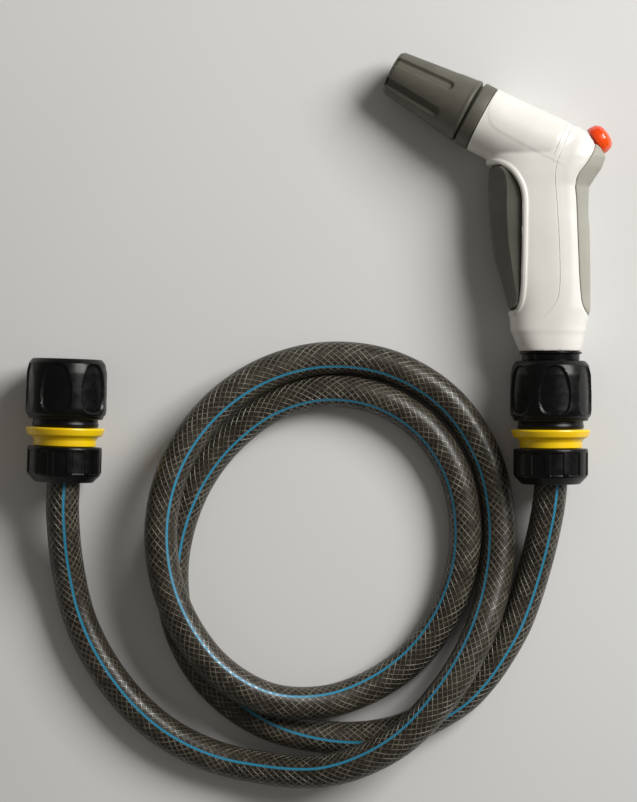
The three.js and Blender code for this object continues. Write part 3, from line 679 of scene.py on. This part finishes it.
def relief(x, y):
    """Height of the moulded detail over the blank, at plan points of the gun."""
    opening, inside = distance_to(spline(TRIGGER_OPENING), x, y)
    rim = 0.55 * (1 - smooth_step(opening, 2.2, 3.1)) * (inside > 0)
    groove = -0.5 * np.exp(-(((opening - 0.2) / 0.45) ** 2))
    panel, _ = distance_to(spline(PANEL_BORDER), x, y)
    seam = -0.55 * np.exp(-((panel / 0.5) ** 2))
    contour, front = distance_to(spline(CONTOUR), x, y)
    step = -0.15 * smooth_step(contour * front, -0.5, 0.5)
    step = step * (1 - smooth_step(contour, 3, 7)) * smooth_step(y, 17, 26)
    head, under = distance_to(spline(HEAD_CONTOUR), x, y)
    plate = 0.16 * smooth_step(head * -under, -0.9, 0.9) * (1 - smooth_step(head, 4, 12))
    return rim + groove + seam + step + plate


def grip_blank():
    """The outside of the whole grip as one fine mesh, and the same made smaller by a line's depth."""
    blank = solid("grip_blank", *loft(HANDLE_ROWS, 2.7))
    head = solid("head_blank", *loft(HEAD_ROWS, 2.15), head_turn)
    combine(blank, "UNION", [head])
    remesh = blank.modifiers.new("remesh", "REMESH")
    remesh.mode = "VOXEL"
    remesh.voxel_size = VOXEL
    smooth = blank.modifiers.new("smooth", "SMOOTH")
    smooth.factor = 0.6
    smooth.iterations = 12
    apply_modifiers(blank)
    count = len(blank.data.vertices)
    places = np.zeros(count * 3)
    normals = np.zeros(count * 3)
    blank.data.vertices.foreach_get("co", places)
    blank.data.vertices.foreach_get("normal", normals)
    places, normals = places.reshape(-1, 3), normals.reshape(-1, 3)
    places += normals * relief(places[:, 0], places[:, 1])[:, None]
    blank.data.vertices.foreach_set("co", places.reshape(-1))
    smaller = copy_of(blank, "smaller")
    smaller.data.vertices.foreach_set("co", (places - LINE_DEPTH * normals).reshape(-1))
    return blank, smaller


def strip(points):
    """A narrow closed outline along a plan line."""
    line = spline(points, 80)
    ahead = np.gradient(line, axis=0)
    length = np.linalg.norm(ahead, axis=1, keepdims=True)
    aside = np.stack([-ahead[:, 1], ahead[:, 0]], 1) / length * LINE_HALF
    return [*map(tuple, line + aside), *map(tuple, (line - aside)[::-1])]


def to_gun(piece, name):
    """Moves a working mesh from the gun's frame in millimetres to its place in metres."""
    piece.name = name
    piece.data.name = name
    piece.data.transform(Matrix.Scale(MM, 4) @ gun_frame)
    piece.data.shade_smooth()
    piece.data.set_sharp_from_angle(angle=math.radians(38))
    return piece


SCREW_PLACES = [(10.2, 22), (8.8, 85), (-31.4, 101.4), (-1.6, 110.6)]
SCREW_SEAT = -8.9
BUTTON_RECESS = 3.6
CUP_DEPTH = 14
HEAD_ROOM_END = -2.5
TRIGGER_ROOM = [
    (-BEYOND, 20.4), (-8.4, 20.4), (-6.5, 30), (-5, 62), (-4.8, 80), (-7, 88), (-13, 92.2), (-28, 92.6),
    (-BEYOND, 92.6),
]


def upright(geometry, x, y):
    """A piece about local Y, stood up along the gun's Z at a plan point."""
    turn = Matrix.Translation((x, y, 0)) @ Matrix.Rotation(math.pi / 2, 4, "X")
    return (*geometry, turn)


def thinner(rows):
    """The loft rows of the room that a wall's thickness leaves inside."""
    return [(height, low + WALL, high - WALL, half - WALL) for height, low, high, half in rows]


def make_body(blank, smaller):
    """The two white half shells and the grey back panel."""
    border = [*map(tuple, spline(PANEL_BORDER)), (BEYOND, 104.8), (BEYOND, 10)]
    moved = [(x + 0.3, y) for x, y in border]
    recess = rod(7.9, -BUTTON_RECESS, 14)
    behind_button = block((-BEYOND, 0, -BEYOND), (BEYOND, BEYOND, BEYOND))
    ends = [
        solid("below", *block((-BEYOND, -30, -BEYOND), (BEYOND, 0, BEYOND))),
        solid("ahead", *block((-BEYOND, 0, -BEYOND), (BEYOND, 30, BEYOND)), head_turn),
        solid("behind", *behind_button, button_turn),
        solid("recess", *recess, button_turn),
    ]
    combine(blank, "DIFFERENCE", ends)
    behind = solid("border", *prism(moved, -BEYOND, BEYOND))
    panel = combine(copy_of(blank, "panel"), "INTERSECT", [behind])
    combine(panel, "DIFFERENCE", [solid("bore", *rod(5, -CUP_DEPTH, 0), button_turn)])
    outside = combine(blank, "DIFFERENCE", [solid("border", *prism(border, -BEYOND, BEYOND))])
    head_rows = thinner(HEAD_ROWS[:-1])
    head_rows[-1] = (HEAD_ROOM_END, *head_rows[-1][1:])
    handle_rows = [(height + 0.1, *rest) for height, *rest in thinner(HANDLE_ROWS)]
    hollow_border = [(x - WALL, y) for x, y in border]
    rooms = [
        solid("handle_room", *loft(handle_rows, 2.7, 48, 40)),
        solid("head_room", *loft(head_rows, 2, 48, 30), head_turn),
    ]
    for room in rooms:
        combine(room, "DIFFERENCE", [solid("border", *prism(hollow_border, -BEYOND, BEYOND))])
    shape = copy_of(outside, "shape")
    combine(outside, "DIFFERENCE", rooms)
    ribs = [solid("boss", *upright(rod(3, -12.5, 12.5, 24), *place)) for place in SCREW_PLACES]
    collar = rod(4.3, -15, SCREW_SEAT + 1.2, 24)
    ribs += [solid("collar", *upright(collar, *place)) for place in SCREW_PLACES]
    ribs.append(solid("cup", *rod(9.6, -CUP_DEPTH, -1), button_turn))
    for rib in ribs:
        combine(rib, "INTERSECT", [copy_of(shape, "shape_copy")])
    bpy.data.objects.remove(shape)
    combine(outside, "UNION", ribs)
    opening = [*map(tuple, spline(TRIGGER_OPENING)), (-BEYOND, 93.1), (-BEYOND, 20.2)]
    cutters = [
        solid("opening", *prism(opening, -BEYOND, BEYOND)),
        solid("trigger_room", *prism(TRIGGER_ROOM, -12.5, 12.5)),
        solid("foot_room", *block((-17.8, 16.8, -10), (-9, 21.4, 10))),
        solid("outlet", *rod(8.9, -10, 5), head_turn),
        solid("inlet", *rod(9.4, -5, 12)),
        solid("cup_recess", *rod(7.8, -BUTTON_RECESS, 12), button_turn),
        solid("cup_bore", *rod(4.9, 1.2 - CUP_DEPTH, 0), button_turn),
    ]
    cutters += [solid("pilot", *upright(rod(1.5, -BEYOND, 9, 24), *place)) for place in SCREW_PLACES]
    cutters += [solid("seat", *upright(rod(3.1, -BEYOND, SCREW_SEAT, 32), *place)) for place in SCREW_PLACES]
    outlines = (strip(CONTOUR), strip(SECOND_CONTOUR))
    lines = [solid("line", *prism(outline, -BEYOND, BEYOND)) for outline in outlines]
    cutters += [combine(line, "DIFFERENCE", [copy_of(smaller, "core")]) for line in lines]
    bpy.data.objects.remove(smaller)
    combine(outside, "DIFFERENCE", cutters)
    halves = []
    for name, low, high in (("upper", SEAM, BEYOND), ("lower", -BEYOND, -SEAM)):
        half = copy_of(outside, name)
        combine(half, "INTERSECT", [solid("half", *block((-90, -20, low), (90, 160, high)))])
        halves.append(to_gun(half, f"gun_shell_{name}"))
    bpy.data.objects.remove(outside)
    finish_piece(halves[0], "white_plastic", "gun", "body_shell_upper")
    finish_piece(halves[1], "white_plastic", "gun", "body_shell_lower")
    finish_piece(to_gun(panel, "gun_back_panel"), "grey_soft", "gun", "rear_grip_panel")


# ---------------------------------------------------------------- gun: trigger, nozzle and other pieces
TRIGGER_HALF = 13.4  # width
TRIGGER_EDGE = [
    (-18.0, 20), (-16.9, 24.9), (-17.5, 30.6), (-20.7, 52.9), (-21.7, 68.9), (-22.6, 87.4), (-26.8, 93),
]
# The lever's front: how far forward, and how wide, as parts of the whole.
FRONT_PROFILE = [
    (0, 1), (0.05, 0.962), (0.5, 0.65), (0.85, 0.44), (0.95, 0.36), (0.99, 0.26), (1, 0.14), (1, 0),
]


def trigger_pad(samples=150, corner=10):
    """The lever's outside: flat cheeks, a crisp edge, and a sloping front."""
    heights = np.linspace(20.9, 92.1, samples)

    def at(outline):
        smooth = spline(outline)
        order = np.argsort(smooth[:, 1])
        return np.interp(heights, smooth[order, 1], smooth[order, 0])

    front, back, edge = at(TRIGGER_FRONT), at(TRIGGER_OPENING) - 0.4, at(TRIGGER_EDGE)
    edge = np.minimum(edge, back - 0.6)
    near_end = np.minimum(heights - heights[0], heights[-1] - heights)
    tuck = 1.1 * (1 - np.clip(near_end / 1.3, 0, 1) ** 0.5)
    half = TRIGGER_HALF - tuck
    rows = []
    for y, x_front, x_edge, x_back, z in zip(heights, front + tuck, edge, back - tuck, half):
        x_edge = min(max(x_edge, x_front + 0.5), x_back - 0.4)
        slope = [(x_edge - (x_edge - x_front) * forward, z * wide) for forward, wide in FRONT_PROFILE]
        turns = np.linspace(math.pi / 2, 0, corner)
        lip = [(x_back - 0.5 * (1 - math.sin(a)), z - 0.5 * (1 - math.cos(a))) for a in turns]
        top = [*lip, *slope]
        section = [*top, *[(x, -zz) for x, zz in reversed(top[:-1])]]
        rows.append([(x, y, zz) for x, zz in section])
    sides = len(rows[0])
    points = [p for row in rows for p in row]
    faces = [*map(tuple, grid_faces(samples, sides, False))]
    return points, [*faces, tuple(range(sides)), tuple(range((samples - 1) * sides, samples * sides))]


def make_trigger():
    web = [
        (-17.4, 31), (-20.4, 53), (-21.4, 69), (-22.2, 86), (-18, 90), (-12.6, 84), (-11.6, 76), (-11.4, 62),
        (-11.6, 36), (-10.4, 24.6), (-9.9, 21), (-11, 18.4), (-13.5, 17.4), (-16.2, 18.6), (-17.1, 21),
    ]
    behind = [(5, 88.6), (5, 63.5), (-11.9, 63.5), (-11.9, 56.5), (5, 56.5), (5, 10)]
    wide = [(-18, 10), (-18, 21.3), (-22.5, 56.5), (-23.5, 88.6), *behind]
    deep = [(-18, 10), (-18, 21.3), (-27.9, 56.5), (-28.2, 88.6), *behind]
    lever = solid("trigger_lever", *trigger_pad())
    combine(lever, "UNION", [solid("web", *prism(web, -12.1, 12.1))])
    cutters = [
        solid("wide_pocket", *prism(wide, -9.7, 9.7)),
        solid("deep_pocket", *prism(deep, -4.6, 4.6)),
        solid("pin_hole", *upright(rod(1.8, -20, 20, 32), -13.5, 21)),
        solid("ear", *block((-30, 10, 9.7), (5, 20.7, 20))),
        solid("ear", *block((-30, 10, -20), (5, 20.7, -9.7))),
    ]
    combine(lever, "DIFFERENCE", cutters)
    finish_piece(to_gun(lever, "trigger_lever"), "dark_plastic", "trigger", "trigger")


FLUTES = 6
FLUTE_ANGLE = math.radians(24)
NOZZLE_OUTLINE = [
    (8.8, 8.3), (15.6, 8.3), (16.55, 8.9), (16.55, 10.2), (16.2, 10.9), (13.8, 33), (11.8, 50.2),
    (10.2, 52), (8.7, 52), (8.7, 33.5), (11.4, 28), (13.5, 12.8), (8.8, 11.6),
]
COLLAR_OUTLINE = [
    (8.8, 0.3), (16.3, 0.3), (16.8, 0.9), (16.8, 6.6), (16.3, 7), (14.6, 7), (14.6, 7.9), (8.8, 7.9),
]
INSERT_OUTLINE = [(6.9, 28), (8.4, 28), (8.4, 46.6), (7.6, 47.2), (3.8, 45.6), (3.8, 43.6), (6.9, 42)]
PINTLE_OUTLINE = [
    (0, 22), (1.6, 22), (1.6, 24), (4.3, 24), (4.3, 27), (1.6, 27), (1.6, 40), (3.2, 44.5), (3.2, 46.5),
    (0, 47.5),
]
BUTTON_OUTLINE = [
    (0, -1.2), (3.1, -1.2), (3.1, -9.4), (4.6, -9.4), (4.6, -0.2), (7.4, -0.2), (7.55, 2.2), (6.9, 4.9),
    (5.2, 6.7), (2.6, 7.5), (0, 7.6),
]
NIPPLE_OUTLINE = [
    (4.2, -22), (6.9, -22), (7.6, -21), (7.6, -19.6), (6.3, -19.6), (6.3, -17), (7.6, -17), (7.6, -12.8),
    (6.1, -12.4), (6.1, -9), (7.6, -8.6), (7.6, -5.9), (14.3, -5.9), (14.4, -1.5), (15.5, -1.2),
    (15.5, -0.3), (9, -0.3), (9, 12), (5.9, 12), (5.9, 8), (4.2, 8),
]


def fluted(radii, heights, angles):
    """Six long round-ended grooves, open at the nozzle's front."""
    aside = from_nearest(angles, FLUTES, FLUTE_ANGLE) * radii / 3
    past_end = np.clip((22.5 - heights) / 3, 0, None)
    inside = 1 - aside**2 - past_end**2
    depth = 1.6 * smooth_step(inside, 0, 0.8)
    return np.where((radii > 10.6) & (heights > 14), radii - depth, radii)


def notched(radii, heights, angles):
    """Two short ribs on the nipple's neck."""
    aside = np.abs(from_nearest(angles, 2, math.radians(-31)))
    rib = 1 - smooth_step(aside, math.radians(2), math.radians(3.4))
    return np.where((radii > 14) & (radii < 15), radii + 0.5 * rib, radii)


def make_gun_pieces():
    nozzle = turned(refined(rounded(NOZZLE_OUTLINE, 0.45), 0.5), 324, fluted)
    fluted_cone = add_piece("nozzle_fluted", *nozzle, nozzle_frame)
    finish_piece(fluted_cone, "dark_plastic", "nozzle_sleeve", "nozzle_sleeve")
    collar = turned(rounded(COLLAR_OUTLINE, 0.3), 160)
    finish_piece(add_piece("collar", *collar, nozzle_frame), "dark_plastic", "gun", "collar_ring")
    insert = turned(rounded(INSERT_OUTLINE, 0.3), 96)
    cup = add_piece("orifice_cup", *insert, nozzle_frame)
    finish_piece(cup, "dark_plastic", "nozzle_insert", "nozzle_insert")
    needle = turned(rounded(PINTLE_OUTLINE, 0.25), 64)
    finish_piece(add_piece("jet_needle", *needle, nozzle_frame), "brass", "gun", "pintle")
    button = turned(rounded(BUTTON_OUTLINE, 0.7, 5), 96)
    thumb_button = add_piece("thumb_button", *button, button_frame)
    finish_piece(thumb_button, "orange_plastic", "lock_button", "lock_button")
    nipple = turned(rounded(NIPPLE_OUTLINE, 0.2), 180, notched)
    finish_piece(add_piece("inlet", *nipple, gun_frame), "black_plastic", "gun", "inlet_nipple")


# ---------------------------------------------------------------- everything together
def add_floor():
    corners = [(-3, -3, 0), (3, -3, 0), (3, 3, 0), (-3, 3, 0)]
    floor = add_piece("floor", corners, [(0, 1, 2, 3)], Matrix.Scale(1 / MM, 4))
    shader = Shader("floor")
    drift = shader.spread(shader.noise(3, 2), 0.3, 0.7)
    tone = shader.mix(drift, colour(222, 222, 221), colour(227, 227, 226))
    shader.link(tone, shader.principled.inputs["Base Color"])
    shader.set(Roughness=0.8)
    floor.data.materials.append(shader.material)


def dress_cad_nodes():
    """Gives each CAD node its slot's material."""
    for row in frame["record"]["subparts"]:
        mesh = frame["nodes"][row["node"]].data
        mesh.materials.clear()
        mesh.materials.append(MATERIALS[row["material_slot"]])


add_camera()
add_world()
add_light("key", (1.0, 0.7, 0.95), 0.8, 26, (1, 0.99, 0.97))
add_floor()

hose, hose_path, hose_length = make_hose()
finish_piece(hose, "braided_hose", "hose_line", "hose")
far_pieces = connector("far", far_frame, 21, -1)
connector("near", near_frame, 30.5, 4)
dress_cad_nodes()
make_body(*grip_blank())
make_trigger()
make_gun_pieces()
